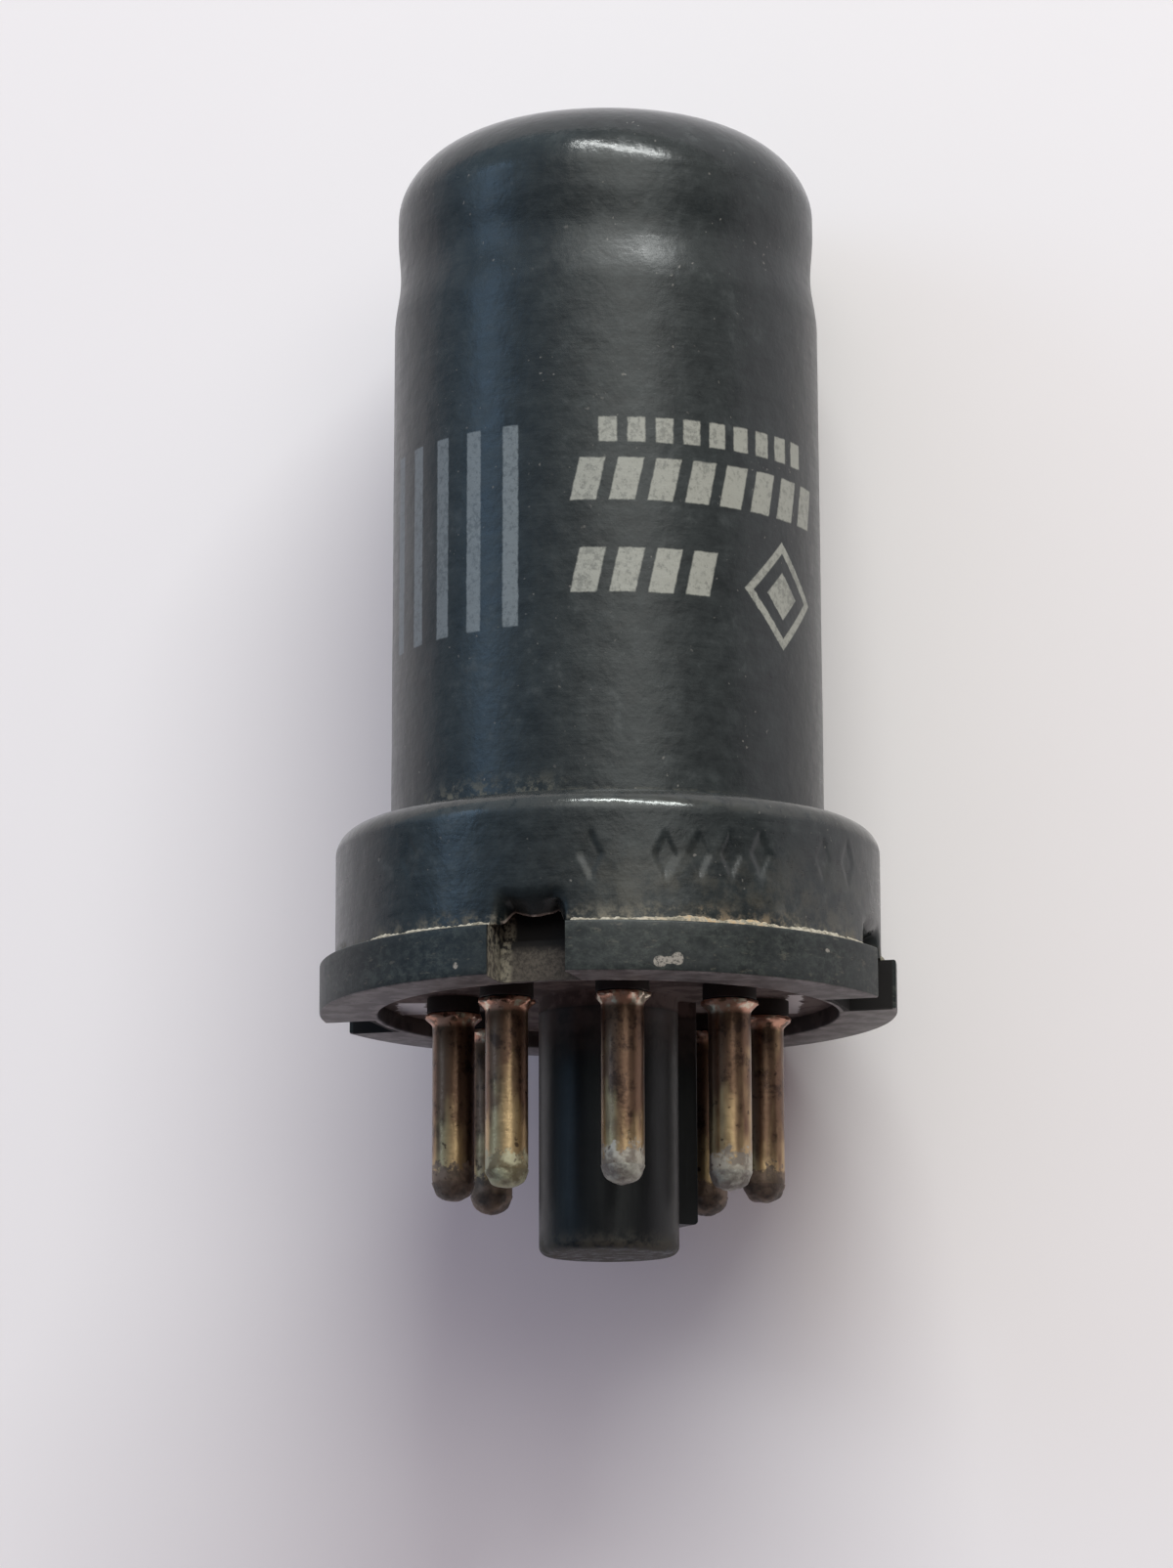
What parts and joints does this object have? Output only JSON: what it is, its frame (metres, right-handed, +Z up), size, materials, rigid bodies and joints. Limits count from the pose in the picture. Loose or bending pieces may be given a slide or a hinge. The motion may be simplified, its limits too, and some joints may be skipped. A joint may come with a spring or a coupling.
{
  "type": "metal octal vacuum tube",
  "caption": "Black metal vacuum tube lying on its side: domed can with a rolled groove, wide skirted header, moulded octal base with a keyed plug and round pins.",
  "frame": {"origin": "point on the table under the middle of the lying tube's box", "axes": "+Z up from the table; +Y along the tube towards its dome, which lies 5.4 degrees lower than its base; +X to the right as the pins are faced from above"},
  "size_m": [0.0322, 0.0654, 0.0323],
  "materials": {
    "can_paint": "satin black paint, aged",
    "header_paint": "satin black paint, dusty",
    "phenolic": "moulded, semi-matt",
    "pin_brass": "tarnished",
    "solder": "dull rough solder",
    "lead_metal": "drawn wire",
    "insert_alloy": "pressed",
    "seal_glass": "fused glass",
    "exhaust_steel": "drawn tube",
    "shield_steel": "drawn"
  },
  "bodies": {
    "root": {"base_pin_1": "pin_brass", "base_pin_2": "pin_brass", "base_pin_3": "pin_brass", "base_pin_4": "pin_brass", "base_pin_5": "pin_brass", "base_pin_6": "pin_brass", "base_pin_7": "pin_brass", "base_pin_8": "pin_brass", "base_shield": "shield_steel", "envelope": "can_paint", "exhaust_tube": "exhaust_steel", "glass_button_seal": "seal_glass", "header": "header_paint", "header_insert": "insert_alloy", "lead_wire_1": "lead_metal", "lead_wire_2": "lead_metal", "lead_wire_3": "lead_metal", "lead_wire_4": "lead_metal", "lead_wire_5": "lead_metal", "lead_wire_6": "lead_metal", "lead_wire_7": "lead_metal", "lead_wire_8": "lead_metal", "octal_base": "phenolic", "solder_tip_1": "solder", "solder_tip_2": "solder", "solder_tip_3": "solder", "solder_tip_4": "solder", "solder_tip_5": "solder", "solder_tip_6": "solder", "solder_tip_7": "solder", "solder_tip_8": "solder"}
  },
  "joints": []
}
